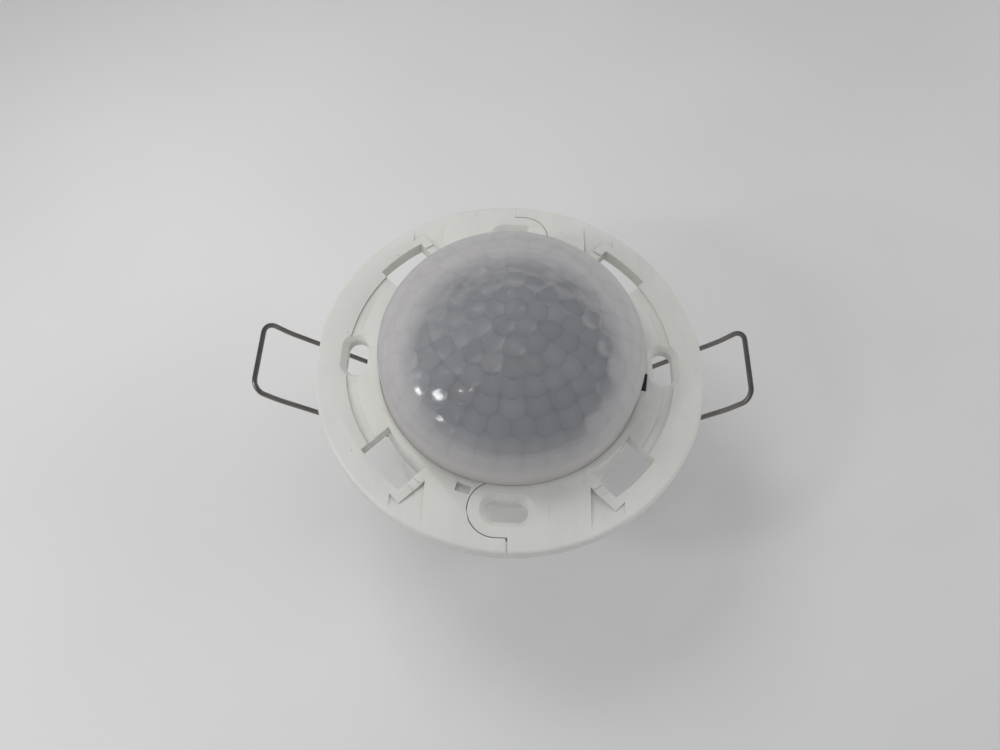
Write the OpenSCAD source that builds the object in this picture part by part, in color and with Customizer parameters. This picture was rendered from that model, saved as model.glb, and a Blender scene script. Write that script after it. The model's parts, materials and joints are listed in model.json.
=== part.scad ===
// Recessed ceiling motion sensor: a round insert with a two-part trim ring, a dome
// lens and two sprung wire bails. It stands on its rear face with the lens upward.
// Origin: centre of the rear face. +Z runs from the rear face to the top of the lens,
// and +X points to the right-hand bail. All sizes are millimetres.

/* [Trim ring] */
// Outside diameter of the flange
flange_d = 76; // [74:1:84]
// Thickness of the flange at its rim
flange_t = 3; // [2.6:0.2:4]
// Height of the flange's top face above the rear face
flange_top = 40; // [40:1:46]
// Distance between opposite screw slots
slot_spacing = 60; // [59:0.5:61]
// Width of a screw slot
slot_w = 4; // [3.6:0.1:4.4]
// Length of a screw slot from end to end
slot_len = 7.8; // [7:0.2:9]
// Width of the sunk edge round a screw slot
slot_bevel = 1.1; // [0.8:0.1:1.2]
// Width of a window across the radius
window_w = 10.6; // [9:0.2:11]
// Radius of a window's outer edge
window_r = 33.4; // [32:0.2:34]
// Gap between the two halves at the rim
slit_w = 0.35; // [0.2:0.05:0.5]

/* [Lens] */
// Height of the dome above the flange
lens_h = 19; // [17:0.5:21]
// Height of the dome's curved cap, which stands on a straight wall
cap_h = 14; // [12:0.5:16]
// Outside radius of the dome's wall
lens_r = 25.35; // [25.15:0.05:25.35]
// Wall thickness of the dome
lens_wall = 0.8; // [0.6:0.1:1]

/* [Housing] */
// Outside radius of the housing
body_r = 25; // [24.9:0.1:25]
// Wall thickness of the housing
body_wall = 1.6; // [1.4:0.1:1.8]
// Thickness of the rear cover
cover_t = 2.4; // [2.2:0.1:2.6]

/* [Bails] */
// Diameter of the spring wire
wire_d = 1; // [0.9:0.1:1]
// Distance from the coil to the bail's outer bar
bail_len = 35.2; // [30:0.2:36]
// Distance between the wire centres of the two legs
bail_w = 15.2; // [15:0.1:15.4]
// Angle of the left bail above the horizontal at rest
bail_angle_left = 38.6; // [38:0.1:48]
// Angle of the right bail above the horizontal at rest
bail_angle_right = 47.5; // [38:0.1:48]

/* [Hidden] */
$fn = 96;
eps = 0.01;
far = 200;

plastic_white = [0.86, 0.87, 0.85];
lens_milk = [0.78, 0.76, 0.77];
shroud_dark = [0.16, 0.18, 0.22];
steel = [0.55, 0.55, 0.56];
board_green = [0.1, 0.32, 0.2];

// Trim ring
flange_r = flange_d / 2;
flange_base = flange_top - flange_t;
rim_round = 0.8;
base_round = 0.3;
rim_flat = 0.5;
lip_r = 25.6;
lip_t = 1.3;
neck_r = 27;
neck_bore = 25.3;
neck_h = 9;
foot_room_r = 26.3;
foot_room_t = 1.4;
rib_r = 24.4;
rib_low = 6;
rib_t = 1.2;
groove_in = 30;
groove_out = 31.9;
groove_depth = 0.35;
crease_x = 15;
corner_x = 21.1;
bar_w = 1.9;
bar_r = 34.6;
ramp_angle = 8;
ramp_turn = 26.6;
ramp_start = 33.5;
ramp_near = 20;
tongue_r = 5;
tongue_x = 2.1;
tongue_y = 30;
tongue_gap = 0.18;
latch_hole = [2.8, 1.7];
latch_r = 27.5;
latch_turn = 17;

// Lens
cap_z = flange_top + lens_h - cap_h;
foot_r = 26;
foot_t = 1;
foot_z = flange_base + 0.4;
key_turn = -8;
key_w = 3.6;
key_in = 24;
key_out = 26.6;
key_h = 2.4;
key_slope = 25;
key_gap = 0.1;

// Housing
body_top = foot_z - 0.2;
body_bore = body_r - body_wall;
head_bore = 22.6;
ledge_r = 20.8;
ledge_z = 31.8;
ledge_t = 1;
head_z = 30;
rib_groove_r = 24.2;
rib_groove_t = 1.6;
pocket_x = 18.6;
pocket_half = 8.35;
pocket_top = 21.6;
pocket_wall = 1.5;
boss_x = 14.2;
boss_y = 13.4;
boss_r = 2.7;
web_len = 2.6;
web_h = 6;
board_z = 10;
board_t = 1.6;
terminal_half = 8.6;
terminal_y = 11.8;
terminal_top = 9.6;

// Rear cover and its screws
spigot_r = 22.9;
spigot_in = 21.6;
spigot_h = 2.2;
screw_r = 1.1;
screw_head_r = 2;
screw_head_t = 1.3;
screw_sink = 1.5;
screw_len = 7;
dial_x = 5.6;
dial_y = -13.2;
dial_r = 2.9;
dial_room = 3.3;

// Bails
coil_r = 1.8;
coil_wire_d = wire_d - 0.06;
coil_turns = 4;
coil_pitch = 0.88;
corner_r = 2.5;
pivot_x = 21.4;
pivot_z = flange_top - 22.8;
pin_r = 1.15;
pin_half = 9.6;

// Electronics
sensor_board_r = 22.2;
sensor_board_z = ledge_z + ledge_t;
shroud_r = 19.5;
retainer_r = 22.4;
shroud_z = flange_top - 1.8;
shroud_t = 1.2;
can_r = 4.6;
can_rim_r = 4.95;
can_z = sensor_board_z + board_t + 1.6;
can_h = 4.2;
board_half = 16.7;
board_r = 22.4;
parts_z = board_z + board_t;
seat = 0.05;
stud_r = 1.4;
stud_inset = 2.5;
can_rim_t = 0.5;
can_leg = [2.54, 0.23, 2];
window_size = [4, 3, 0.3];
window_sink = 0.38;
led_x = 9;
led_y = -6;
led_r = 1.5;
led_h = 2.6;
led_hole_r = 1.8;
chip_size = [10, 4, 1.5];
chip_y = 7;
chip_lead = [0.4, 1.1, 0.8];
chip_lead_pitch = 1.27;
header_pitch = 2.54;
header_y = -17.5;
header_pin = 0.64;
header_size = [12.9, 2.5, 2.5];
relay_size = [20.4, 7.2, 15.2];
relay_at = [-4, -9.4];
film_size = [18, 8, 14];
film_y = 15;
reservoir_at = [-10.5, 1.8];
reservoir_r = 4.9;
reservoir_h = 15;
choke_at = [1.2, 2.2];
choke_r = 4.5;
choke_core_r = 3.2;
choke_h = 9;
choke_rim = 1.2;
varistor_at = [9.4, 3.4];
varistor_r = 3.6;
varistor_t = 3.2;
varistor_lift = 5.2;
lead_r = 0.3;
lead_pitch = 5;
fuse_at = [13, -9.4];
fuse_r = 1.9;
fuse_len = 9;
fuse_lift = 3;
trimmer_size = [8, 8, 3.4];
trimmer_bore = 1.55;
dial_z = 0.6;
dial_neck_r = 1.5;
dial_slot = [4.6, 0.9, 1.2];

// Terminals
terminal_pitch = 5;
terminal_size = [16, 8.6, 9];
terminal_at = [0, 16.9, 0.85];
terminal_screw_y = terminal_at[1] - 0.4;

module ring_of(r_out, r_in, z0, h) {
    translate([0, 0, z0]) difference() {
        cylinder(r = r_out, h = h, $fn = 180);
        translate([0, 0, -eps]) cylinder(r = r_in, h = h + 2 * eps, $fn = 180);
    }
}

module slab(size, at) {
    translate([at[0] - size[0] / 2, at[1] - size[1] / 2, at[2]]) cube(size);
}

module at_corners() {
    for (mx = [0, 1], my = [0, 1]) mirror([mx, 0, 0]) mirror([0, my, 0]) children();
}

// Cross-section of the flange, with a rounded rim.
module flange_profile() {
    rim = [for (a = [0:18:90]) [flange_r - rim_round + rim_round * cos(a),
        flange_top - rim_round + rim_round * sin(a)]];
    polygon(concat([[neck_r - 1, flange_base], [flange_r - base_round, flange_base],
        [flange_r, flange_base + base_round]], rim, [[neck_r - 1, flange_top]]));
}

// Cross-section of the neck: a lip over the lens's foot, and a rib for the housing's groove.
module neck_profile() {
    foot_top = flange_top - lip_t;
    foot_low = foot_top - foot_room_t;
    rib_top = flange_top - rib_low + rib_t;
    polygon([[neck_bore, flange_top - neck_h], [neck_r, flange_top - neck_h],
        [neck_r, flange_top], [lip_r, flange_top], [lip_r, foot_top], [foot_room_r, foot_top],
        [foot_room_r, foot_low], [neck_bore, foot_low], [neck_bore, rib_top],
        [rib_r, rib_top], [rib_r, flange_top - rib_low], [neck_bore, flange_top - rib_low]]);
}

// One edge-to-edge slot cut with a sunk bevel, centred on the origin and running along Y.
module screw_slot() {
    half = slot_len / 2 - slot_w / 2;
    wide = slot_w / 2 + slot_bevel;
    for (s = [-1, 1]) translate([0, s * half, 0]) {
        translate([0, 0, -far / 2]) cylinder(d = slot_w, h = far, $fn = 48);
        translate([0, 0, flange_top - slot_bevel])
            cylinder(r1 = slot_w / 2, r2 = wide + eps, h = slot_bevel + eps, $fn = 48);
    }
    slab([slot_w, 2 * half, far], [0, 0, -far / 2]);
    translate([0, half, flange_top]) rotate([90, 0, 0]) linear_extrude(2 * half)
        polygon([[-wide, eps], [wide, eps], [slot_w / 2, -slot_bevel], [-slot_w / 2, -slot_bevel]]);
}

module window() {
    rotate([0, 0, 45]) intersection() {
        ring_of(window_r, neck_r - 0.5, -far / 2, far);
        slab([far / 4, window_w, far], [far / 8, 0, -far / 2]);
    }
}

// A ramp that deepens towards the lens, between the front crease and a window's edge bar.
module ramp_pocket() {
    difference() {
        intersection() {
            slab([corner_x - crease_x, flange_r - ramp_near, far],
                [(corner_x + crease_x) / 2, (flange_r + ramp_near) / 2, 0]);
            translate([crease_x, ramp_start, flange_top])
                rotate([0, 0, -ramp_turn]) rotate([ramp_angle, 0, 0])
                    slab([far, far, far / 10], [0, -far / 2, 0]);
        }
        rotate([0, 0, 45]) slab([bar_r + far / 10, window_w + 2 * bar_w, far],
            [(bar_r - far / 10) / 2, 0, 0]);
    }
}

module flange() {
    difference() {
        rotate_extrude($fn = 180) flange_profile();
        for (s = [-1, 1]) slab([far, far, far], [s * (far / 2 + flange_r - rim_flat), 0, 0]);
        for (a = [0:90:270]) rotate([0, 0, a]) translate([slot_spacing / 2, 0, 0]) screw_slot();
        at_corners() window();
        at_corners() ramp_pocket();
        difference() {
            ring_of(groove_out, groove_in, flange_top - groove_depth, 1);
            slab([2 * crease_x, far, far], [0, 0, 0]);
        }
    }
}

module ring_full() {
    difference() {
        union() {
            flange();
            rotate_extrude($fn = 180) neck_profile();
        }
        for (a = [0, 180]) rotate([0, 0, a - 90 - latch_turn]) translate([latch_r, 0, 0])
            slab([latch_hole[1], latch_hole[0], far], [0, 0, -far / 2]);
        lens_key_shape(key_gap);
    }
}

// Plan of the left half: a half disc with a round socket in front and a tongue at the back.
module half_plan() {
    difference() {
        union() {
            translate([-far - slit_w / 2, -far / 2]) square([far, far]);
            translate([tongue_x, tongue_y]) circle(r = tongue_r);
            translate([-1, tongue_y - tongue_r]) square([1 + tongue_x, 2 * tongue_r]);
        }
        translate([-tongue_x, -tongue_y]) circle(r = tongue_r + tongue_gap);
        translate([-tongue_x, -tongue_y - tongue_r - tongue_gap])
            square([tongue_x + 1, 2 * (tongue_r + tongue_gap)]);
    }
}

module ring_half(turn) {
    color(plastic_white) intersection() {
        ring_full();
        rotate([0, 0, turn]) linear_extrude(flange_top + 1) half_plan();
    }
}

module ring_half_left() { ring_half(0); }
module ring_half_right() { ring_half(180); }

module lens_cap(r, h) {
    translate([0, 0, cap_z]) scale([1, 1, h / r]) sphere(r = r, $fn = 180);
}

module fresnel_lens() {
    color(lens_milk) difference() {
        union() {
            difference() {
                lens_cap(lens_r, cap_h);
                lens_cap(lens_r - lens_wall, cap_h - lens_wall);
                slab([far, far, far], [0, 0, cap_z - far]);
            }
            ring_of(lens_r, lens_r - lens_wall, foot_z, cap_z - foot_z);
            ring_of(foot_r, lens_r - lens_wall, foot_z, foot_t);
        }
        lens_key_shape(key_gap);
    }
}

module lens_key_shape(gap) {
    rotate([0, 0, key_turn]) slab([key_out - key_in + 2 * gap, key_w + 2 * gap,
        key_h + lip_t + foot_room_t + 2 * gap],
        [(key_out + key_in) / 2, 0, flange_top - lip_t - foot_room_t - gap]);
}

module lens_key() {
    color([0.03, 0.03, 0.04]) difference() {
        lens_key_shape(0);
        rotate([0, 0, key_turn]) translate([key_out, 0, flange_top + 0.2])
            rotate([0, -key_slope, 0]) slab([far / 10, far / 10, far / 10], [0, 0, 0]);
    }
}

module body_tube() {
    rotate_extrude($fn = 180) polygon([[body_bore, cover_t + 0.1], [body_r, cover_t + 0.1],
        [body_r, flange_top - rib_low - (rib_groove_t - rib_t) / 2],
        [rib_groove_r, flange_top - rib_low - (rib_groove_t - rib_t) / 2],
        [rib_groove_r, flange_top - rib_low + (rib_groove_t + rib_t) / 2],
        [body_r, flange_top - rib_low + (rib_groove_t + rib_t) / 2],
        [body_r, body_top], [head_bore, body_top], [head_bore, ledge_z + ledge_t],
        [ledge_r, ledge_z + ledge_t], [ledge_r, ledge_z], [body_bore, head_z - 1]]);
}

module pin_holes() {
    for (s = [-1, 1]) translate([s * pivot_x, -pin_half - 0.1, pivot_z]) rotate([-90, 0, 0])
        cylinder(r = pin_r, h = 2 * pin_half + 0.2);
}

module bail_pockets(z0) {
    for (s = [-1, 1]) slab([far, 2 * pocket_half, pocket_top - z0],
        [s * (pocket_x + far / 2), 0, z0]);
}

module terminal_room() {
    slab([2 * terminal_half, far, terminal_top + 1], [0, terminal_y + far / 2, -1]);
}

module at_bosses() {
    for (sx = [-1, 1], sy = [-1, 1]) translate([sx * boss_x, sy * boss_y, 0]) children();
}

module body_housing() {
    color(plastic_white) difference() {
        union() {
            body_tube();
            intersection() {
                translate([0, 0, cover_t + 0.1]) cylinder(r = body_r - body_wall / 2,
                    h = pocket_top + pocket_wall - cover_t, $fn = 180);
                for (s = [-1, 1]) slab([body_r, 2 * (pocket_half + pocket_wall), far],
                    [s * (pocket_x - pocket_wall + body_r / 2), 0, 0]);
            }
            at_bosses() translate([0, 0, cover_t + 0.1])
                cylinder(r = boss_r, h = board_z - cover_t - 0.2);
            for (a = [-1, 1], sx = [-1, 1]) rotate([0, 0, a * atan(boss_y / boss_x)])
                slab([web_len, 2, web_h],
                    [sx * (body_bore + 0.6 - web_len / 2), 0, cover_t + 0.1]);
        }
        bail_pockets(-1);
        pin_holes();
        terminal_room();
        at_bosses() cylinder(r = screw_r, h = screw_sink + screw_len);
    }
}

module rear_cover() {
    color(plastic_white) difference() {
        union() {
            cylinder(r = body_r, h = cover_t, $fn = 180);
            ring_of(spigot_r, spigot_in, cover_t - eps, spigot_h);
        }
        bail_pockets(-1);
        for (s = [-1, 1]) slab([far, 2 * (pocket_half + pocket_wall) + 0.4, far],
            [s * (pocket_x - pocket_wall - 0.3 + far / 2), 0, cover_t]);
        terminal_room();
        at_bosses() {
            translate([0, 0, -1]) cylinder(r = screw_r + 0.2, h = far / 10);
            translate([0, 0, -1]) cylinder(r = screw_head_r + 0.3, h = screw_sink + 1);
            translate([0, 0, cover_t]) cylinder(r = boss_r + 0.9, h = spigot_h + 1);
        }
        for (s = [-1, 1]) translate([s * dial_x, dial_y, -1]) cylinder(r = dial_room, h = 8);
    }
}

module sensor_shroud() {
    color(shroud_dark) difference() {
        union() {
            translate([0, 0, shroud_z]) cylinder(r = shroud_r, h = shroud_t);
            for (a = [30:120:270]) rotate([0, 0, a]) translate([shroud_r - stud_inset, 0,
                sensor_board_z + board_t]) cylinder(r = stud_r,
                h = shroud_z - sensor_board_z - board_t + eps);
        }
        translate([0, 0, shroud_z - 1]) cylinder(r = can_rim_r + 0.3, h = 5);
        for (s = [-1, 1]) translate([s * led_x, led_y, shroud_z - 1])
            cylinder(r = led_hole_r, h = 5);
    }
}

// A white ring that holds the sensor board down on its ledge, round the shroud.
module board_retainer() {
    low = sensor_board_z + board_t;
    color(plastic_white) {
        ring_of(retainer_r, retainer_r - 1, low, shroud_z + eps - low);
        ring_of(retainer_r, shroud_r + 0.2, shroud_z, shroud_t);
    }
}

module sensor_board() {
    color(board_green) translate([0, 0, sensor_board_z + 0.02])
        cylinder(r = sensor_board_r, h = board_t - 0.04);
}

module pir_can() {
    color("silver") difference() {
        union() {
            translate([0, 0, can_z]) cylinder(r = can_rim_r, h = can_rim_t);
            translate([0, 0, can_z]) cylinder(r = can_r, h = can_h);
            for (a = [90:120:330]) rotate([0, 0, a]) translate([can_leg[0], 0,
                sensor_board_z + board_t]) cylinder(r = can_leg[1], h = can_leg[2], $fn = 24);
        }
        slab(window_size + [0.2, 0.2, 1], [0, 0, can_z + can_h - window_sink - 0.02]);
    }
}

module pir_window() {
    color([0.1, 0.1, 0.12]) slab(window_size, [0, 0, can_z + can_h - window_sink]);
}

module small_dome(at, r, h) {
    translate([at[0], at[1], sensor_board_z + board_t]) {
        cylinder(r = r, h = h, $fn = 48);
        translate([0, 0, h]) sphere(r = r, $fn = 48);
    }
}

module light_sensor() { color([0.75, 0.78, 0.8]) small_dome([led_x, led_y], led_r, led_h); }
module status_led() { color([0.8, 0.2, 0.15]) small_dome([-led_x, led_y], led_r, led_h); }

module control_chip() {
    color([0.08, 0.08, 0.09]) {
        slab(chip_size, [0, chip_y, sensor_board_z - 0.3 - chip_size[2]]);
        for (i = [0:7], s = [-1, 1]) slab(chip_lead, [(i - 3.5) * chip_lead_pitch,
            chip_y + s * (chip_size[1] + 1) / 2, sensor_board_z - 0.5 - chip_lead[2]]);
    }
}

module board_header() {
    color("goldenrod") for (i = [-2:2])
        slab([header_pin, header_pin, sensor_board_z - parts_z - 2 * seat],
            [i * header_pitch, header_y, parts_z + seat]);
    color([0.08, 0.08, 0.09])
        for (z = [parts_z + 2 * seat, sensor_board_z - header_size[2] - 4 * seat])
            slab(header_size, [0, header_y, z]);
}

module power_board() {
    color(board_green) intersection() {
        translate([0, 0, board_z]) cylinder(r = board_r, h = board_t);
        slab([2 * board_half, far, far], [0, 0, 0]);
    }
}

module relay() {
    color([0.1, 0.35, 0.6]) slab(relay_size, [relay_at[0], relay_at[1], parts_z + seat]);
}

module film_capacitor() {
    color([0.8, 0.65, 0.1]) slab(film_size, [0, film_y, parts_z + seat]);
}

module reservoir_capacitor() {
    color([0.12, 0.12, 0.14]) translate([reservoir_at[0], reservoir_at[1], parts_z + seat]) {
        cylinder(r = reservoir_r, h = reservoir_h, $fn = 72);
        translate([0, 0, reservoir_h]) cylinder(r = reservoir_r - 0.8, h = 0.4, $fn = 72);
    }
}

module choke() {
    color([0.1, 0.1, 0.1]) translate([choke_at[0], choke_at[1], parts_z + seat]) {
        cylinder(r = choke_r, h = choke_rim);
        cylinder(r = choke_core_r, h = choke_h);
        translate([0, 0, choke_h - choke_rim]) cylinder(r = choke_r, h = choke_rim);
    }
}

module varistor() {
    color([0.1, 0.3, 0.65]) translate([varistor_at[0], varistor_at[1],
        parts_z + varistor_lift]) rotate([90, 0, 0]) cylinder(r = varistor_r, h = varistor_t);
    color("silver") for (s = [-1, 1]) translate([varistor_at[0] + s * lead_pitch / 2,
        varistor_at[1] - varistor_t / 2, parts_z + seat])
        cylinder(r = lead_r, h = varistor_lift - varistor_r / 2, $fn = 24);
}

module fuse() {
    color([0.85, 0.8, 0.7]) translate([fuse_at[0], fuse_at[1], parts_z + fuse_lift])
        rotate([-90, 0, 0]) cylinder(r = fuse_r, h = fuse_len);
}

module trimmer_bases() {
    color([0.15, 0.3, 0.6]) for (s = [-1, 1]) difference() {
        slab(trimmer_size, [s * dial_x, dial_y, board_z - trimmer_size[2] - seat]);
        translate([s * dial_x, dial_y, 0]) cylinder(r = trimmer_bore, h = board_z - 1);
    }
}

module dial(s) {
    rim = board_z - trimmer_size[2] - 7 * seat;
    color([0.9, 0.9, 0.88]) translate([s * dial_x, dial_y, 0]) difference() {
        union() {
            translate([0, 0, dial_z]) cylinder(r = dial_r, h = rim - dial_z);
            translate([0, 0, rim - eps]) cylinder(r = dial_neck_r, h = board_z - 1.3 - rim);
        }
        translate([0, 0, dial_z - 1]) {
            slab(dial_slot + [0, 0, 1], [0, 0, 0]);
            slab([dial_slot[1], dial_slot[0] / 2, dial_slot[2] + 1], [0, dial_slot[0] / 4, 0]);
        }
    }
}

module time_dial() { dial(-1); }
module light_dial() { dial(1); }

module terminal_block() {
    color([0.2, 0.5, 0.35]) difference() {
        slab(terminal_size, terminal_at);
        for (i = [-1:1]) {
            slab([4.2, 9, 4.8], [i * terminal_pitch, terminal_at[1] + 1.6, 4.2]);
            translate([i * terminal_pitch, terminal_screw_y, 0])
                cylinder(r = 1.9, h = 5, $fn = 48);
        }
    }
}

module terminal_clamps() {
    color("silver") for (i = [-1:1]) difference() {
        slab([3.8, 5.4, 4.4], [i * terminal_pitch, terminal_at[1], 4.4]);
        slab([2.8, 9, 2.4], [i * terminal_pitch, terminal_at[1], 5.8]);
        translate([i * terminal_pitch, terminal_screw_y, 3]) cylinder(r = 1.2, h = 4, $fn = 48);
    }
}

module terminal_screws() {
    color(steel) for (i = [-1:1]) translate([i * terminal_pitch, terminal_screw_y, 1.2])
        difference() {
            union() {
                cylinder(r = 1.7, h = 1.2, $fn = 48);
                cylinder(r = 1.15, h = 5.6, $fn = 48);
            }
            slab([5, 0.6, 1.2], [0, 0, -0.6]);
        }
}

// One wire bail with its coils round the Y axis, its legs along +X and below the axis.
module bail() {
    half = bail_w / 2;
    color(steel) {
        for (s = [-1, 1]) {
            for (i = [0:coil_turns - 1]) translate([0, s * (half - i * coil_pitch), 0])
                rotate([90, 0, 0]) rotate_extrude($fn = 72) translate([coil_r, 0])
                    circle(d = coil_wire_d, $fn = 24);
            translate([0, s * half, -coil_r]) rotate([0, 90, 0])
                cylinder(d = wire_d, h = bail_len - corner_r, $fn = 24);
            translate([bail_len - corner_r, s * (half - corner_r), -coil_r])
                rotate([0, 0, s < 0 ? -90 : 0]) rotate_extrude(angle = 90, $fn = 72)
                    translate([corner_r, 0]) circle(d = wire_d, $fn = 24);
        }
        translate([bail_len, -half + corner_r, -coil_r]) rotate([-90, 0, 0])
            cylinder(d = wire_d, h = bail_w - 2 * corner_r, $fn = 24);
        translate([-coil_r, -half + coil_turns * coil_pitch - coil_pitch, 0]) rotate([-90, 0, 0])
            cylinder(d = wire_d, h = bail_w - 2 * (coil_turns - 1) * coil_pitch, $fn = 24);
    }
}

module spring_right() {
    translate([pivot_x, 0, pivot_z]) rotate([0, -bail_angle_right, 0]) bail();
}

module spring_left() {
    mirror([1, 0, 0]) translate([pivot_x, 0, pivot_z]) rotate([0, -bail_angle_left, 0]) bail();
}

module spring_pin(s) {
    color(steel) translate([s * pivot_x, -pin_half, pivot_z]) rotate([-90, 0, 0])
        cylinder(r = pin_r, h = 2 * pin_half);
}

module spring_pin_left() { spring_pin(-1); }
module spring_pin_right() { spring_pin(1); }

module case_screws() {
    color(steel) at_bosses() translate([0, 0, screw_sink - screw_head_t]) difference() {
        union() {
            cylinder(r = screw_head_r, h = screw_head_t);
            cylinder(r = screw_r, h = screw_head_t + screw_len - 0.5);
        }
        for (a = [0, 90]) rotate([0, 0, a]) slab([2.6, 0.6, 1.3], [0, 0, -0.5]);
    }
}

ring_half_left();
ring_half_right();
fresnel_lens();
lens_key();
body_housing();
rear_cover();
board_retainer();
sensor_shroud();
sensor_board();
pir_can();
pir_window();
light_sensor();
status_led();
control_chip();
board_header();
power_board();
relay();
film_capacitor();
reservoir_capacitor();
choke();
varistor();
fuse();
trimmer_bases();
time_dial();
light_dial();
terminal_block();
terminal_clamps();
terminal_screws();
spring_left();
spring_right();
spring_pin_left();
spring_pin_right();
case_screws();
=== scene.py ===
import json
import math

import bmesh
import bpy
import numpy as np
from mathutils import Matrix, Vector

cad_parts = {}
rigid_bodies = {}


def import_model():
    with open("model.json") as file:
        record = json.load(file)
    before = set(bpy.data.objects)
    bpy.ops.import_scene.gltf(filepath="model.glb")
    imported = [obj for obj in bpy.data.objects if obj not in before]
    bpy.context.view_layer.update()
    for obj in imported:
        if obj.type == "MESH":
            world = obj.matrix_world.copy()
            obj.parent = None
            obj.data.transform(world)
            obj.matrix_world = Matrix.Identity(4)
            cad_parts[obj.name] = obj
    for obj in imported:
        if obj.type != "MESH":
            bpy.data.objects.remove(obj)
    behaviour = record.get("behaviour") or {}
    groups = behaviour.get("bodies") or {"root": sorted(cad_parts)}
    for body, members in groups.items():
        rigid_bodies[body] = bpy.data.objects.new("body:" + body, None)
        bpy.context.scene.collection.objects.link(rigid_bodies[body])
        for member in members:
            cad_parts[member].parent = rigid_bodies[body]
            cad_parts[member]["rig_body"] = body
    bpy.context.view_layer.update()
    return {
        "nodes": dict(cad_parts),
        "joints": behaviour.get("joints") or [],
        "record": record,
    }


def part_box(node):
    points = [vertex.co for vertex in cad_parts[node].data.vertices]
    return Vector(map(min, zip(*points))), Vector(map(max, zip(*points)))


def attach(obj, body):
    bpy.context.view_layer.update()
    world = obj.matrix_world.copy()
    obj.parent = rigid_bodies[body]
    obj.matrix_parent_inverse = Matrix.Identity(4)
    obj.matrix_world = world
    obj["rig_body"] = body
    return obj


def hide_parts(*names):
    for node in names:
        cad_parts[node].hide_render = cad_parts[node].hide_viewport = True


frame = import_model()
nodes = frame["nodes"]
MM = 0.001

# ---------------------------------------------------------------- places taken from the frame
FLANGE_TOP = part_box("ring_half_left")[1].z
LENS_BASE, LENS_TOP = (corner.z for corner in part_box("fresnel_lens"))
LENS_WALL_R = 25.35 * MM
LENS_CAP_H = 14 * MM
LENS_CAP_Z = LENS_TOP - LENS_CAP_H
LENS_FOOT_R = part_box("fresnel_lens")[1].x
LENS_FOOT_T = 1 * MM
KEY_TURN = math.radians(-8)
JOINTS = {j["name"]: j for j in frame["joints"]}
SLOT_OF = {s["node"]: s["material_slot"] for s in frame["record"]["subparts"]}


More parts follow.
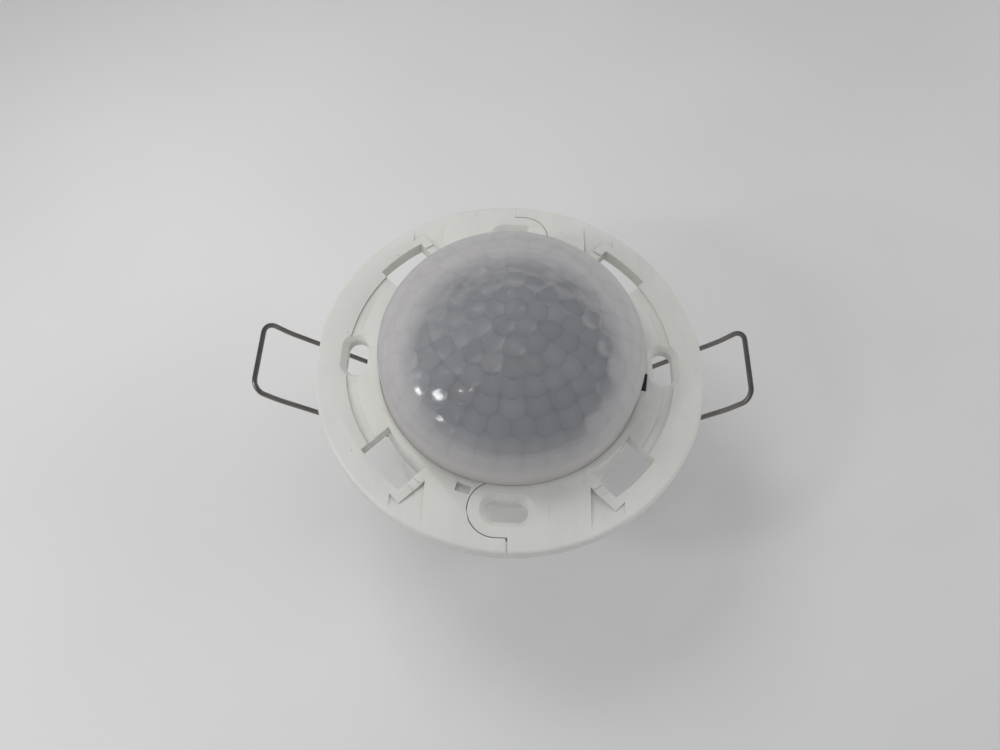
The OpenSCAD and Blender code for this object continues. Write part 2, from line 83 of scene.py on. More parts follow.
# ---------------------------------------------------------------- node helpers
class Nodes:
    """A material's node tree with short calls for the nodes used here."""

    def __init__(self, name):
        self.mat = bpy.data.materials.new(name)
        self.mat.use_nodes = True
        self.tree = self.mat.node_tree
        self.tree.nodes.clear()
        self.out = self.add("ShaderNodeOutputMaterial")
        self.coord = self.add("ShaderNodeTexCoord").outputs["Object"]

    def add(self, kind, **values):
        n = self.tree.nodes.new(kind)
        for key, value in values.items():
            setattr(n, key, value)
        return n

    def link(self, a, b):
        self.tree.links.new(a, b)

    def scaled(self, scale):
        n = self.add("ShaderNodeMapping")
        self.link(self.coord, n.inputs["Vector"])
        n.inputs["Scale"].default_value = scale
        return n.outputs[0]

    def noise(self, scale, detail=3.0, rough=0.55, stretch=None):
        n = self.add("ShaderNodeTexNoise")
        self.link(self.scaled(stretch) if stretch else self.coord, n.inputs["Vector"])
        n.inputs["Scale"].default_value = scale
        n.inputs["Detail"].default_value = detail
        n.inputs["Roughness"].default_value = rough
        return n.outputs["Fac"]

    def voronoi(self, scale, feature="F1", randomness=1.0):
        n = self.add("ShaderNodeTexVoronoi", feature=feature)
        self.link(self.coord, n.inputs["Vector"])
        n.inputs["Scale"].default_value = scale
        n.inputs["Randomness"].default_value = randomness
        return n

    def ramp(self, fac, low, high, to_low=0.0, to_high=1.0):
        n = self.add("ShaderNodeMapRange")
        self.link(fac, n.inputs["Value"])
        for key, value in (("From Min", low), ("From Max", high),
                           ("To Min", to_low), ("To Max", to_high)):
            n.inputs[key].default_value = value
        return n.outputs["Result"]

    def mix(self, fac, a, b):
        """Mixes two colours, each a socket or a tuple."""
        n = self.add("ShaderNodeMix", data_type="RGBA")
        for socket, value in ((n.inputs[0], fac), (n.inputs[6], a), (n.inputs[7], b)):
            if isinstance(value, bpy.types.NodeSocket):
                self.link(value, socket)
            elif isinstance(value, (int, float)):
                socket.default_value = value
            else:
                socket.default_value = (*value, 1)
        return n.outputs[2]

    def math(self, operation, a, b=None):
        n = self.add("ShaderNodeMath", operation=operation)
        for socket, value in ((n.inputs[0], a), (n.inputs[1], b)):
            if isinstance(value, bpy.types.NodeSocket):
                self.link(value, socket)
            elif value is not None:
                socket.default_value = value
        return n.outputs[0]

    def bump(self, height, distance, strength=1.0, normal=None):
        n = self.add("ShaderNodeBump")
        self.link(height, n.inputs["Height"])
        n.inputs["Distance"].default_value = distance
        n.inputs["Strength"].default_value = strength
        if normal:
            self.link(normal, n.inputs["Normal"])
        return n.outputs[0]

    def occlusion_shade(self, distance):
        # Painted shade: ambient occlusion, dark where corners and recesses fall into shade.
        n = self.add("ShaderNodeAmbientOcclusion", samples=6)
        n.inputs["Distance"].default_value = distance
        return n.outputs["AO"]

    def principled(self, colour, rough, normal=None, **values):
        n = self.add("ShaderNodeBsdfPrincipled")
        for name, value in (("Base Color", colour), ("Roughness", rough), ("Normal", normal)):
            if isinstance(value, bpy.types.NodeSocket):
                self.link(value, n.inputs[name])
            elif value is not None:
                n.inputs[name].default_value = value if name == "Roughness" else (*value, 1)
        for name, value in values.items():
            n.inputs[name.replace("_", " ")].default_value = value
        return n.outputs[0]

    def mix_shaders(self, fac, a, b):
        n = self.add("ShaderNodeMixShader")
        if isinstance(fac, bpy.types.NodeSocket):
            self.link(fac, n.inputs[0])
        else:
            n.inputs[0].default_value = fac
        self.link(a, n.inputs[1])
        self.link(b, n.inputs[2])
        return n.outputs[0]

    def spots(self, scale, size, patches, patch_low, patch_high):
        """Small round specks of a size, kept only within some patches of the surface."""
        near = self.voronoi(scale).outputs["Distance"]
        return self.math("MULTIPLY", self.ramp(near, size, size / 2),
                         self.ramp(self.noise(patches, 1), patch_low, patch_high))

    def done(self, shader):
        self.link(shader, self.out.inputs["Surface"])
        return self.mat


def lighter(colour, share):
    return tuple(min(1.0, c * share) for c in colour)


# ---------------------------------------------------------------- materials
def ring_plastic():
    """Glossy off-white plastic with flow lines, grime, specks and painted shade darkening its
    corners and recesses.
    """
    m = Nodes("ring_plastic")
    base = (0.735, 0.735, 0.695)
    cloud = m.ramp(m.noise(60, 4), 0.35, 0.65)
    colour = m.mix(cloud, lighter(base, 0.955), lighter(base, 1.03))
    flow = m.ramp(m.noise(260, 3, stretch=(1, 0.12, 1)), 0.45, 0.7, 0, 0.35)
    colour = m.mix(flow, colour, (0.80, 0.81, 0.74))
    grime = m.ramp(m.noise(420, 5, 0.7, stretch=(1, 0.35, 1)), 0.60, 0.78, 0, 0.30)
    colour = m.mix(grime, colour, (0.46, 0.47, 0.42))
    specks = m.spots(520, 0.10, 150, 0.60, 0.66)
    colour = m.mix(m.math("MULTIPLY", specks, 0.6), colour, (0.20, 0.19, 0.16))
    # Painted shade: the colour darkens towards (0.36, 0.34, 0.29) where ambient occlusion finds
    # corners and recesses.
    crevice_shade = m.ramp(m.occlusion_shade(1.2 * MM), 0.55, 0.95, 0.26, 0)
    colour = m.mix(crevice_shade, colour, (0.36, 0.34, 0.29))
    rough = m.ramp(m.noise(900, 4), 0.3, 0.7, 0.34, 0.50)
    waves = m.bump(m.noise(160, 2), 0.05 * MM, 0.35)
    grain = m.bump(m.noise(5200, 2), 0.010 * MM, 0.5, waves)
    return m.done(m.principled(colour, rough, grain, IOR=1.5, Coat_Weight=0.12,
                               Coat_Roughness=0.22, Subsurface_Weight=0.08,
                               Subsurface_Radius=(0.0012, 0.001, 0.0008),
                               Subsurface_Scale=1.0))


def moulded(name, base, low=0.42, high=0.6, grain=3200, depth=0.02, wear=0.2, **values):
    """Moulded plastic: clouded colour, fine texture, a little dust, and painted shade darkening its
    corners.
    """
    m = Nodes(name)
    colour = m.mix(m.ramp(m.noise(140, 4), 0.35, 0.65), lighter(base, 0.965), lighter(base, 1.02))
    dust = m.ramp(m.noise(600, 5, 0.7), 0.58, 0.75, 0, wear)
    colour = m.mix(dust, colour, tuple(0.5 * c + 0.22 for c in base))
    # Painted shade: the colour darkens towards a dark copy of the base where ambient occlusion
    # finds corners.
    crevice_shade = m.ramp(m.occlusion_shade(1.0 * MM), 0.45, 0.95, 0.4, 0)
    colour = m.mix(crevice_shade, colour, lighter(base, 0.45))
    rough = m.ramp(m.noise(1100, 3), 0.3, 0.7, low, high)
    texture = m.bump(m.noise(grain, 2), depth * MM, 0.6)
    return m.done(m.principled(colour, rough, texture, **values))


def metal(name, base, low, high, stretch=(1, 1, 1), rust=0.0, depth=0.012):
    """Plated or drawn metal: fine lines along the work, smears and, if asked, brown spots."""
    m = Nodes(name)
    lines = m.noise(2600, 3, stretch=stretch)
    colour = m.mix(m.ramp(lines, 0.3, 0.7), lighter(base, 0.86), lighter(base, 1.1))
    smear = m.ramp(m.noise(240, 4), 0.45, 0.75, 0, 0.35)
    colour = m.mix(smear, colour, lighter(base, 0.72))
    if rust:
        spots = m.ramp(m.noise(900, 5, 0.7), 0.60, 0.72, 0, rust)
        colour = m.mix(spots, colour, (0.17, 0.085, 0.04))
    rough = m.ramp(m.noise(700, 4), 0.3, 0.7, low, high)
    texture = m.bump(lines, depth * MM, 0.7)
    return m.done(m.principled(colour, rough, texture, Metallic=1.0))


def circuit_board(name, base):
    """Solder mask with slightly raised copper tracks under it and round bare pads."""
    m = Nodes(name)
    cells = m.voronoi(420, "DISTANCE_TO_EDGE", 0.35)
    tracks = m.ramp(cells.outputs["Distance"], 0.10, 0.14)
    colour = m.mix(tracks, lighter(base, 1.5), base)
    pads = m.ramp(m.voronoi(260, randomness=0.2).outputs["Distance"], 0.16, 0.14)
    colour = m.mix(m.math("MULTIPLY", pads, 0.8), colour, (0.62, 0.55, 0.36))
    rough = m.ramp(m.noise(600, 3), 0.3, 0.7, 0.22, 0.36)
    return m.done(m.principled(colour, rough, m.bump(tracks, 0.02 * MM, 0.8), Coat_Weight=0.4,
                               Coat_Roughness=0.12))


# The lens's milkiness, partly its own milk and partly painted glow for light coming through the
# lens: full at its foot, and outside a circle set a little to the front, so the back looks
# brighter.
MILK_FULL_Z = LENS_CAP_Z - 1 * MM
MILK_CLEAR_Z = LENS_CAP_Z + 8 * MM
CLEAR_SHIFT = 6 * MM
CLEAR_R = 16.5 * MM
MILKY_R = 20.5 * MM
LENS_IOR = 1.5
GLOSS_IOR = 1.45


def clear_pane(m, rough):
    """Refracts what is seen and lets lamps shine straight through."""
    seen = m.add("ShaderNodeBsdfRefraction")
    seen.inputs["IOR"].default_value = LENS_IOR
    seen.inputs["Roughness"].default_value = rough
    through = m.add("ShaderNodeBsdfTransparent")
    path = m.add("ShaderNodeLightPath")
    lit = m.math("MAXIMUM", path.outputs["Is Shadow Ray"], path.outputs["Is Diffuse Ray"])
    return m.mix_shaders(lit, seen.outputs[0], through.outputs[0])


def glossy_over(m, below, rough):
    """A clear gloss over another shader."""
    gloss = m.add("ShaderNodeBsdfAnisotropic")
    gloss.inputs["Roughness"].default_value = rough
    fresnel = m.add("ShaderNodeFresnel")
    fresnel.inputs["IOR"].default_value = GLOSS_IOR
    return m.mix_shaders(fresnel.outputs[0], below, gloss.outputs[0])


def milk_and_painted_glow(m):
    """How far the lens is towards its milkiest and brightest, from its height and its place in
    plan: partly its own milk, partly painted glow for light coming through the foot and back.
    """
    place = m.add("ShaderNodeSeparateXYZ")
    m.link(m.coord, place.inputs[0])
    low = m.ramp(place.outputs["Z"], MILK_CLEAR_Z, MILK_FULL_Z)
    across = m.math("POWER", place.outputs["X"], 2.0)
    along = m.math("POWER", m.math("ADD", place.outputs["Y"], CLEAR_SHIFT), 2.0)
    off_middle = m.math("SQRT", m.math("ADD", across, along))
    return m.math("MAXIMUM", low, m.ramp(off_middle, CLEAR_R, MILKY_R, 0, 0.7))


def lens_milk():
    """The lens's outer skin: a milky veil over a clear body, thinner along the cell edges, and
    lighter and thicker towards the foot and back, which is partly painted glow.
    """
    m = Nodes("lens_milk")
    base = (0.80, 0.81, 0.845)
    tone = m.add("ShaderNodeAttribute", attribute_name="cell_tone").outputs["Fac"]
    # Painted glow, partly real milk: the mask of where the lens is painted lighter and more veiled,
    # at the foot and towards the back.
    milky = milk_and_painted_glow(m)
    cloud = m.ramp(m.noise(70, 3), 0.35, 0.65)
    colour = m.mix(cloud, lighter(base, 0.96), lighter(base, 1.03))
    colour = m.mix(m.ramp(tone, 0.15, 0.7), (0.50, 0.53, 0.60), colour)
    # Painted glow: the foot and the back are lightened towards (0.93, 0.895, 0.88).
    colour = m.mix(milky, colour, (0.93, 0.895, 0.88))
    specks = m.spots(330, 0.06, 90, 0.62, 0.66)
    colour = m.mix(m.math("MULTIPLY", specks, 0.7), colour, (0.16, 0.15, 0.16))
    rough = m.ramp(m.noise(500, 3), 0.3, 0.7, 0.09, 0.15)
    skin = m.principled(colour, rough, m.bump(m.noise(240, 3), 0.02 * MM, 0.2), IOR=GLOSS_IOR,
                        Sheen_Weight=0.6, Sheen_Roughness=0.5)
    glow = m.add("ShaderNodeBsdfTranslucent")
    glow.inputs["Color"].default_value = (0.93, 0.915, 0.91, 1)
    veil = m.mix_shaders(0.5, skin, glow.outputs[0])
    # The veil's share also rises with the painted glow mask.
    share = m.math("ADD", m.ramp(tone, 0.0, 1.0, 0.22, 0.52), m.math("MULTIPLY", milky, 0.50))
    body = glossy_over(m, clear_pane(m, 0.16), 0.07)
    return m.done(m.mix_shaders(share, body, veil))


def lens_cells_material():
    """The lens's inner face, whose small lenses are in its mesh."""
    m = Nodes("lens_cells")
    return m.done(clear_pane(m, 0.12))


def floor_material():
    """Pale matte paper."""
    m = Nodes("floor_paper")
    colour = m.mix(m.ramp(m.noise(9, 3), 0.3, 0.7), (0.80, 0.79, 0.785), (0.84, 0.835, 0.83))
    return m.done(m.principled(colour, 0.85))


MATERIALS = {
    "ring_plastic": ring_plastic(),
    "black_plastic": moulded("black_plastic", (0.02, 0.02, 0.024), 0.35, 0.5),
    "body_plastic": moulded("body_plastic", (0.74, 0.74, 0.71), 0.45, 0.6, 2400, 0.03, wear=0.05),
    "shroud_plastic": moulded("shroud_plastic", (0.035, 0.05, 0.075), 0.5, 0.65),
    "circuit_board": circuit_board("circuit_board", (0.03, 0.15, 0.07)),
    "can_metal": metal("can_metal", (0.22, 0.21, 0.205), 0.36, 0.5),
    "filter_window": moulded("filter_window", (0.05, 0.05, 0.07), 0.08, 0.16, 3000, 0.004),
    "clear_plastic": moulded("clear_plastic", (0.72, 0.75, 0.78), 0.1, 0.2, 900, 0.01,
                             Transmission_Weight=0.6),
    "red_plastic": moulded("red_plastic", (0.16, 0.06, 0.06), 0.1, 0.2, 900, 0.01),
    "brass_pins": metal("brass_pins", (0.72, 0.52, 0.22), 0.2, 0.34, (1, 1, 0.1)),
    "relay_plastic": moulded("relay_plastic", (0.03, 0.10, 0.32), 0.3, 0.42),
    "yellow_plastic": moulded("yellow_plastic", (0.70, 0.47, 0.05), 0.3, 0.42),
    "ferrite": moulded("ferrite", (0.045, 0.045, 0.05), 0.5, 0.7, 1400, 0.05),
    "blue_plastic": moulded("blue_plastic", (0.03, 0.11, 0.40), 0.3, 0.44),
    "ceramic": moulded("ceramic", (0.76, 0.70, 0.56), 0.3, 0.42, 1500, 0.03),
    "dial_plastic": moulded("dial_plastic", (0.70, 0.70, 0.66), 0.4, 0.55),
    "green_plastic": moulded("green_plastic", (0.05, 0.28, 0.15), 0.38, 0.52),
    "plated_metal": metal("plated_metal", (0.60, 0.60, 0.58), 0.25, 0.42, rust=0.15),
    "spring_wire": metal("spring_wire", (0.27, 0.25, 0.235), 0.28, 0.46, rust=0.45),
    "pin_steel": metal("pin_steel", (0.50, 0.50, 0.49), 0.25, 0.38, (1, 0.1, 1)),
    "lens_plastic": lens_milk(),
}


def paint(obj, *materials):
    obj.data.materials.clear()
    for m in materials:
        obj.data.materials.append(m)


for name, obj in nodes.items():
    paint(obj, MATERIALS[SLOT_OF[name]])


# ---------------------------------------------------------------- mesh helpers
WELD = 0.002 * MM
FLAT_WITHIN = math.radians(0.5)
EASED_ABOVE = math.radians(35)
SHARP_ABOVE = math.radians(40)


def new_piece(name, mesh, body, slot, *replaced):
    obj = bpy.data.objects.new(name, mesh)
    bpy.context.scene.collection.objects.link(obj)
    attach(obj, body)
    if replaced:
        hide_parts(*replaced)
    return obj


def apply_modifiers(obj):
    bpy.context.view_layer.update()
    evaluated = obj.evaluated_get(bpy.context.evaluated_depsgraph_get())
    mesh = bpy.data.meshes.new_from_object(evaluated)
    obj.modifiers.clear()
    obj.data = mesh


def finished_mesh(name, bm):
    """Turns a bmesh into a mesh and frees it."""
    mesh = bpy.data.meshes.new(name)
    bm.to_mesh(mesh)
    bm.free()
    return mesh


def eased(node, width):
    """A copy of a CAD node's mesh with its sharp edges rounded, which stands for the node."""
    mesh = nodes[node].data.copy()
    bm = bmesh.new()
    bm.from_mesh(mesh)
    bmesh.ops.remove_doubles(bm, verts=bm.verts, dist=WELD)
    bmesh.ops.dissolve_limit(bm, angle_limit=FLAT_WITHIN, verts=bm.verts, edges=bm.edges)
    bm.to_mesh(mesh)
    bm.free()
    for polygon in mesh.polygons:
        polygon.use_smooth = True
    obj = new_piece(node + "_piece", mesh, nodes[node]["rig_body"], SLOT_OF[node], node)
    bevel = obj.modifiers.new("edges", "BEVEL")
    bevel.width = width
    bevel.segments = 2
    bevel.limit_method = "ANGLE"
    bevel.angle_limit = EASED_ABOVE
    bevel.use_clamp_overlap = True
    apply_modifiers(obj)
    obj.data.set_sharp_from_angle(angle=SHARP_ABOVE)
    paint(obj, MATERIALS[SLOT_OF[node]])


def wire_loop(name, points, radius, sides):
    """A round wire through the points, the last of which is the first again, as a mesh."""
    pts = [Vector(p) for p in points]
    bm = bmesh.new()
    rings = []
    up = Vector((0, 0, 1))
    for i, p in enumerate(pts):
        ahead = pts[min(i + 1, len(pts) - 1)] - pts[max(i - 1, 0)]
        ahead.normalize()
        side = ahead.cross(up)
        if side.length < 1e-6:
            side = Vector((1, 0, 0))
        side.normalize()
        up = side.cross(ahead).normalized()
        rings.append([bm.verts.new(p + radius * (math.cos(a) * side + math.sin(a) * up))
                      for a in (2 * math.pi * k / sides for k in range(sides))])
    for a, b in zip(rings, rings[1:]):
        for k in range(sides):
            bm.faces.new((a[k], a[(k + 1) % sides], b[(k + 1) % sides], b[k]))
    bmesh.ops.recalc_face_normals(bm, faces=bm.faces)
    mesh = finished_mesh(name, bm)
    for polygon in mesh.polygons:
        polygon.use_smooth = True
    return mesh


# ---------------------------------------------------------------- the lens
LENS_SKIN = 0.55 * MM
LENS_FLARE = 0.23 * MM
FLARE_T = 1.0 * MM
FLARE_TOP = FLANGE_TOP + 0.8 * MM
LENS_SEGMENTS = 480
LENS_ROWS = 120
WALL_ROWS = 12
LENS_TURNS = np.arange(LENS_SEGMENTS) * 2 * math.pi / LENS_SEGMENTS

# The small lenses stand in rings round the top, CELL_STEP apart along the cap.
CELL_STEP = 3.5 * MM
CELL_COUNTS = (6, 12, 18, 24, 24, 30, 36, 36, 36)
CELL_STAGGER = (0, 0, 0.5, 0, 0, 0, 0, 0, 0)
CELL_CURVE = 9.5 * MM
CELL_RISE = 0.24 * MM
CELL_EDGE_W = 0.42 * MM
SCALE_R = 2.35 * MM
# The side on which the cells meet in straight lines, in degrees round the lens.
TILED_MIDDLE = 160
TILED_HALF = 62
TILED_BLEND = 12


def cap_profile():
    """Slope angles in even steps along the cap, and a table of arc length against angle."""
    fine = np.linspace(0, math.pi / 2, 2000)
    speed = np.hypot(LENS_WALL_R * np.cos(fine), LENS_CAP_H * np.sin(fine))
    arc = np.concatenate([[0], np.cumsum((speed[1:] + speed[:-1]) / 2 * np.diff(fine))])
    lengths = np.linspace(arc[-1] * 0.5 / LENS_ROWS, arc[-1], LENS_ROWS)
    return np.interp(lengths, arc, fine), arc, fine


def cell_centres(arc, fine):
    """Places of the small lenses on the cap, and the number of each one's ring."""
    found, rings = [(0.0, 0.0, LENS_TOP)], [0]
    for row, (count, shift) in enumerate(zip(CELL_COUNTS, CELL_STAGGER), 1):
        slope = np.interp(row * CELL_STEP, arc, fine)
        radius = LENS_WALL_R * math.sin(slope)
        height = LENS_CAP_Z + LENS_CAP_H * math.cos(slope)
        for i in range(count):
            turn = 2 * math.pi * (i + shift) / count
            found.append((radius * math.cos(turn), radius * math.sin(turn), height))
            rings.append(row)
    return np.array(found), np.array(rings)


def circles(sizes):
    """A ring of points for each radius and height."""
    return np.array([[(r * math.cos(a), r * math.sin(a), z) for a in LENS_TURNS] for r, z in sizes])


def outer_face(slopes):
    """Rings of points over the cap and down its wall to the foot, where the wall flares."""
    sizes = [(LENS_WALL_R * math.sin(t), LENS_CAP_Z + LENS_CAP_H * math.cos(t)) for t in slopes]
    for z in np.linspace(LENS_CAP_Z, LENS_BASE + LENS_FOOT_T, WALL_ROWS + 1)[1:]:
        flare = np.clip((FLARE_TOP - z) / FLARE_T, 0, 1) ** 2
        sizes.append((LENS_WALL_R + LENS_FLARE * flare, z))
    return circles(sizes)


def inner_face(slopes, centres):
    """The inside of the shell, from the cap down, with the small lenses raised on it."""
    radius, cap = LENS_WALL_R - LENS_SKIN, LENS_CAP_H - LENS_SKIN
    sizes = [(radius * math.sin(t), LENS_CAP_Z + cap * math.cos(t)) for t in slopes]
    sizes += [(radius, z) for z in np.linspace(LENS_CAP_Z, LENS_BASE, WALL_ROWS + 1)[1:]]
    face = circles(sizes)
    nearest = np.array([distances(ring, centres).min(1) for ring in face])
    rise = np.clip(CELL_RISE - nearest ** 2 / (2 * CELL_CURVE), 0, None)
    rise *= np.clip((face[..., 2] - LENS_CAP_Z) / (2 * MM), 0, 1)
    away = face - np.array([0, 0, LENS_CAP_Z])
    away[..., 2] = np.clip(away[..., 2], 0, None) * (LENS_WALL_R / LENS_CAP_H) ** 2
    away /= np.linalg.norm(away, axis=2, keepdims=True)
    return face - away * rise[..., None]


def distances(ring, centres):
    return np.sqrt(((ring[:, None] - centres[None]) ** 2).sum(2))


def cell_tone(points, centres, rings):
    """How milky each place looks. On one side the cells meet in straight lines, and on the
    other each cell overlaps the next ring like a fish scale."""
    own = np.random.default_rng(7).normal(0, 1, len(centres))
    tones = []
    for ring in points:
        d = distances(ring, centres)
        near = np.partition(d, 1, axis=1)
        nearest = d.argmin(1)
        edge = np.clip((near[:, 1] - near[:, 0]) / CELL_EDGE_W, 0, 1)
        tiled = 0.12 * (edge - 1) + 0.10 * (1 - (near[:, 0] / SCALE_R) ** 2) + 0.05 * own[nearest]
        # a place belongs to the innermost ring's scale that covers it
        covered = np.where(d < SCALE_R, rings[None, :] * 10.0 + d / SCALE_R, 1e6)
        owner = np.where(covered.min(1) < 1e6, covered.argmin(1), nearest)
        share = np.take_along_axis(d, owner[:, None], 1)[:, 0] / SCALE_R
        rim = np.clip((share - 0.82) / 0.18, 0, 1)
        scaled = 0.13 * (0.55 - share) - 0.12 * rim + 0.05 * own[owner]
        turn = np.degrees(np.arctan2(ring[:, 1], ring[:, 0]))
        off = np.abs((turn - TILED_MIDDLE + 180) % 360 - 180)
        side = np.clip((off - TILED_HALF) / TILED_BLEND, 0, 1)
        tones.append(0.5 + tiled * (1 - side) + scaled * side)
    fade = np.clip((points[..., 2] - LENS_CAP_Z + 0.5 * MM) / (5 * MM), 0, 1)
    return 0.5 + (np.array(tones) - 0.5) * fade


def shell_faces(count, first_inside):
    """Quads between the rows of points, then a fan to each tip, and which lie inside."""
    n = LENS_SEGMENTS
    after = [(k + 1) % n for k in range(n)]
    faces, inside = [], []
    for r in range(count - 1):
        for k in range(n):
            faces.append((r * n + k, (r + 1) * n + k, (r + 1) * n + after[k], r * n + after[k]))
            inside.append(int(r >= first_inside))
    for k in range(n):
        faces.append((count * n, k, after[k]))
        faces.append((count * n + 1, (count - 1) * n + after[k], (count - 1) * n + k))
        inside += [0, 1]
    return faces, inside


def lens_mesh():
    slopes, arc, fine = cap_profile()
    centres, cell_rings = cell_centres(arc, fine)
    outer = outer_face(slopes)
    inner = inner_face(slopes, centres)
    foot = circles([(LENS_FOOT_R, LENS_BASE + LENS_FOOT_T), (LENS_FOOT_R, LENS_BASE)])
    rows = np.concatenate([outer, foot, inner[::-1]])
    tips = np.array([[0, 0, LENS_TOP], [0, 0, LENS_TOP - LENS_SKIN - CELL_RISE]])
    faces, inside = shell_faces(len(rows), len(outer) + len(foot))
    mesh = bpy.data.meshes.new("fresnel_lens_piece")
    mesh.from_pydata(np.concatenate([rows.reshape(-1, 3), tips]).tolist(), [], faces)
    mesh.polygons.foreach_set("material_index", inside)
    mesh.polygons.foreach_set("use_smooth", [True] * len(faces))
    tone = np.full(len(mesh.vertices), 0.5, np.float32)
    tone[:outer.size // 3] = cell_tone(outer, centres, cell_rings).ravel()
    tone[-2:] = 0.6
    layer = mesh.attributes.new("cell_tone", "FLOAT", "POINT")
    layer.data.foreach_set("value", tone)
    mesh.update()
    mesh.set_sharp_from_angle(angle=SHARP_ABOVE)
    return mesh


NOTCH_SIZE = (4 * MM, 3.8 * MM)
NOTCH_BELOW = 1 * MM
NOTCH_ABOVE = 1.2 * MM


def cut_notch(obj):
    """The notch in the lens's wall where the black key stands."""
    low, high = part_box("lens_key")
    radius = math.hypot((low.x + high.x) / 2, (low.y + high.y) / 2)
    height = high.z - low.z + NOTCH_BELOW + NOTCH_ABOVE
    bm = bmesh.new()
    bmesh.ops.create_cube(bm, size=1, matrix=Matrix.Rotation(KEY_TURN, 4, "Z")
                          @ Matrix.Translation((radius, 0, low.z - NOTCH_BELOW + height / 2))
                          @ Matrix.Diagonal((*NOTCH_SIZE, height, 1)))
    mesh = finished_mesh("notch_cutter", bm)
    cutter = bpy.data.objects.new("notch_cutter", mesh)
    bpy.context.scene.collection.objects.link(cutter)
    cut = obj.modifiers.new("notch", "BOOLEAN")
    cut.object = cutter
    cut.operation = "DIFFERENCE"
    cut.solver = "MANIFOLD"
    apply_modifiers(obj)
    bpy.data.objects.remove(cutter)
    bpy.data.meshes.remove(mesh)


lens = new_piece("fresnel_lens_piece", lens_mesh(), "root", "lens_plastic", "fresnel_lens")
paint(lens, MATERIALS["lens_plastic"], lens_cells_material())
cut_notch(lens)

# ---------------------------------------------------------------- ring, housing and key
for node, width in (("ring_half_left", 0.14 * MM), ("ring_half_right", 0.14 * MM),
                    ("body_housing", 0.18 * MM), ("rear_cover", 0.22 * MM), ("lens_key", 0.1 * MM)):
    eased(node, width)

# ---------------------------------------------------------------- spring bails
WIRE_R = 0.5 * MM
WIRE_SIDES = 20
COIL_R = 1.8 * MM
COIL_TURNS = 4
COIL_POINTS = 36 * COIL_TURNS + 27
COIL_PITCH = 2 * WIRE_R + 0.02 * MM
LEG_Y = 7.6 * MM
CORNER_R = 2.5 * MM
CORNER_POINTS = 12
BAIL_LEN = 35.2 * MM
TIP_LEN = 7 * MM
TIP_BEND = math.radians(9)
TIP_EASE = 2 * MM
# Angles of the two bails above the horizontal at rest, in degrees.
REST_ANGLE = {"left": 38.6, "right": 47.5}


def bail_points():
    """Half of one bail's centreline, from the middle of its bridge to the middle of its tip.
    It lies flat along +X, with the centre of its coil at the origin."""
    inner_y = LEG_Y - COIL_TURNS * COIL_PITCH
    pts = [(-COIL_R, y, 0) for y in np.linspace(0, inner_y, 6)]
    total = 2 * math.pi * (COIL_TURNS + 0.25)
    for share in np.linspace(0, 1, COIL_POINTS + 1)[1:]:
        turn = math.pi + total * share
        pts.append((COIL_R * math.cos(turn), inner_y + (LEG_Y - inner_y) * share,
                    COIL_R * math.sin(turn)))
    straight = BAIL_LEN - CORNER_R
    pts += [(straight * s, LEG_Y, -COIL_R) for s in np.linspace(0.02, 1, 24)]
    for a in np.linspace(0, math.pi / 2, CORNER_POINTS + 1)[1:]:
        pts.append((straight + CORNER_R * math.sin(a), LEG_Y - CORNER_R * (1 - math.cos(a)),
                    -COIL_R))
    pts += [(BAIL_LEN, y, -COIL_R) for y in np.linspace(LEG_Y - CORNER_R, 0, 6)[1:]]
    return [bent_tip(p) for p in pts]


def bent_tip(p):
    """Bends the last stretch of the wire, which grips the ceiling, upwards a little."""
    x, y, z = p
    beyond = x - (BAIL_LEN - TIP_LEN)
    if beyond <= 0:
        return p
    started = min(1.0, beyond / TIP_EASE)
    angle = TIP_BEND * started
    return (BAIL_LEN - TIP_LEN + beyond * math.cos(angle), y,
            z + (beyond - TIP_EASE / 2 * started) * math.sin(angle))


def make_bail(side, sign):
    """One closed loop of wire: bridge, coil, leg, tip, leg, coil and back to the bridge."""
    half = bail_points()
    path = half + [(x, -y, z) for x, y, z in half[-2:0:-1]]
    turned = Matrix.Rotation(-math.radians(REST_ANGLE[side]), 3, "Y")
    pivot = Vector(JOINTS["bail_%s_fold" % side]["pos_m"])
    pts = []
    for p in path + path[:1]:
        v = turned @ Vector(p)
        pts.append((sign * v.x + pivot.x, v.y, v.z + pivot.z))
    name = "spring_%s_piece" % side
    obj = new_piece(name, wire_loop(name, pts, WIRE_R, WIRE_SIDES), "bail_" + side,
                    "spring_wire", "spring_" + side)
    paint(obj, MATERIALS["spring_wire"])


make_bail("left", -1)
make_bail("right", 1)

# ---------------------------------------------------------------- stage, light and camera
FLOOR_HALF = 3.0
WORLD_COLOUR = (0.93, 0.95, 1.0, 1)
WORLD_STRENGTH = 0.25
MIDDLE = Vector((0, 0, FLANGE_TOP))
GLINTS_AT = Vector((-0.013, -0.015, FLANGE_TOP + 13 * MM))
WHITE = (1, 1, 1)
# Soft lamps aimed at the middle, which don't show in reflections: place, size, watts, colour.
SOFT_LAMPS = {
    "key": ((-0.11, 0.10, 0.24), 0.12, 0.22, (1, 0.995, 0.98)),
    "fill": ((0.10, 0.25, 0.6), 0.5, 0.3, (0.95, 0.97, 1)),
    "low_right": ((0.42, 0.06, 0.17), 0.3, 0.6, WHITE),
    "low_front": ((0.10, -0.45, 0.17), 0.3, 0.2, WHITE),
}
# Small lamps that show as glints on the lens: place, width, height, watts.
GLINT_LAMPS = {
    "glint_a": ((-0.241, -0.073, 0.145), 0.020, 0.026, 0.05),
    "glint_b": ((-0.191, -0.096, 0.209), 0.030, 0.034, 0.09),
    "glint_c": ((-0.194, -0.167, 0.139), 0.016, 0.026, 0.03),
    "glint_d": ((-0.128, -0.088, 0.263), 0.006, 0.006, 0.004),
}
CAMERA_LENS = 27.5
CAMERA_DISTANCE = 149.3 * MM
CAMERA_ELEVATION = math.radians(61.96)
CAMERA_YAW = math.radians(3.09)
CAMERA_ROLL = math.radians(4.90)
CAMERA_PAN = math.radians(-0.71)
CAMERA_TILT = math.radians(1.15)


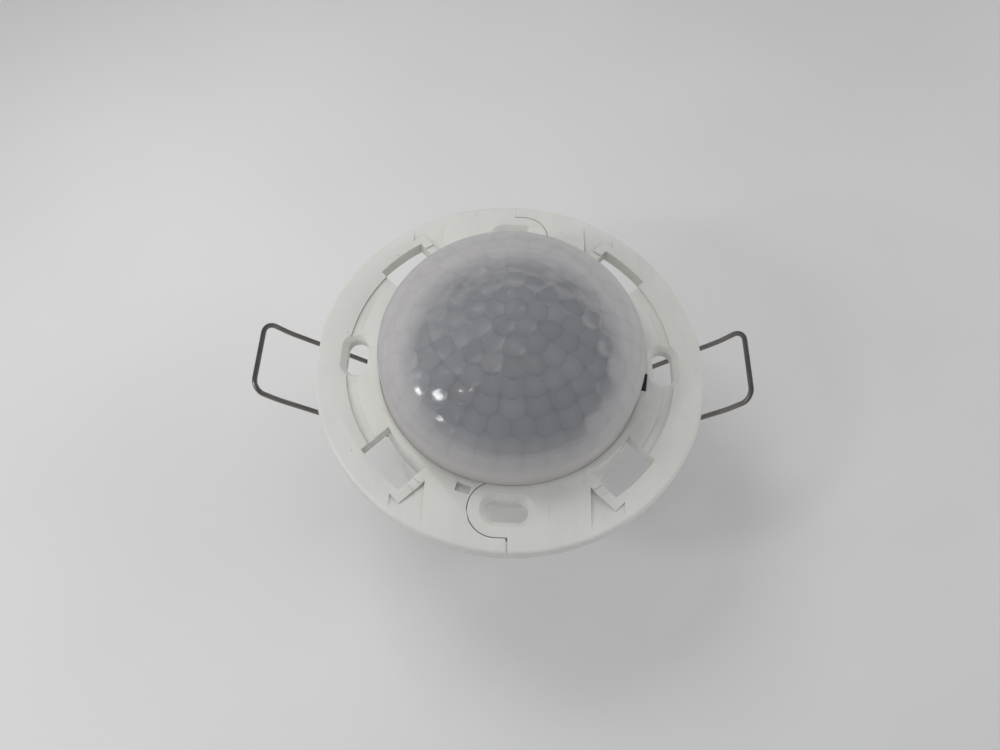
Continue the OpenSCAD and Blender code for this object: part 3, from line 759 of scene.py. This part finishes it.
def area_light(name, place, target, width, height, power, colour, mirrored):
    data = bpy.data.lights.new(name, "AREA")
    data.shape = "RECTANGLE"
    data.size = width
    data.size_y = height
    data.energy = power
    data.color = colour
    obj = bpy.data.objects.new(name, data)
    obj.location = place
    obj.rotation_euler = (target - Vector(place)).to_track_quat("-Z", "Y").to_euler()
    obj.visible_camera = False
    obj.visible_glossy = mirrored
    bpy.context.scene.collection.objects.link(obj)


def make_lights():
    for name, (place, size, power, colour) in SOFT_LAMPS.items():
        area_light(name, place, MIDDLE, size, size, power, colour, mirrored=False)
    for name, (place, width, height, power) in GLINT_LAMPS.items():
        area_light(name, place, GLINTS_AT, width, height, power, WHITE, mirrored=True)
    world = bpy.data.worlds.new("studio")
    world.use_nodes = True
    background = world.node_tree.nodes["Background"]
    background.inputs["Color"].default_value = WORLD_COLOUR
    background.inputs["Strength"].default_value = WORLD_STRENGTH
    bpy.context.scene.world = world


def make_floor():
    mesh = bpy.data.meshes.new("floor")
    corners = [(FLOOR_HALF * x, FLOOR_HALF * y, 0) for x, y in ((-1, -1), (1, -1), (1, 1), (-1, 1))]
    mesh.from_pydata(corners, [], [(0, 1, 2, 3)])
    floor = bpy.data.objects.new("floor", mesh)
    bpy.context.scene.collection.objects.link(floor)
    paint(floor, floor_material())


def make_camera():
    """The camera stands in front of and above the middle, and is then turned a little."""
    data = bpy.data.cameras.new("camera")
    data.sensor_width = 36
    data.lens = CAMERA_LENS
    data.clip_start = 0.005
    cam = bpy.data.objects.new("camera", data)
    back = Vector((0, -math.cos(CAMERA_ELEVATION), math.sin(CAMERA_ELEVATION)))
    right = Vector((1, 0, 0))
    axes = Matrix((right, back.cross(right), back))
    yaw = Matrix.Rotation(CAMERA_YAW, 3, "Z")
    aim = (Matrix.Rotation(-CAMERA_ROLL, 3, "Z") @ Matrix.Rotation(CAMERA_TILT, 3, "X")
           @ Matrix.Rotation(CAMERA_PAN, 3, "Y"))
    facing = (aim @ axes @ yaw).transposed()
    place = yaw.transposed() @ (back * CAMERA_DISTANCE) + MIDDLE
    cam.matrix_world = Matrix.Translation(place) @ facing.to_4x4()
    bpy.context.scene.collection.objects.link(cam)
    bpy.context.scene.camera = cam


make_floor()
make_lights()
make_camera()
bpy.context.scene.view_settings.view_transform = "Standard"

bpy.context.view_layer.update()
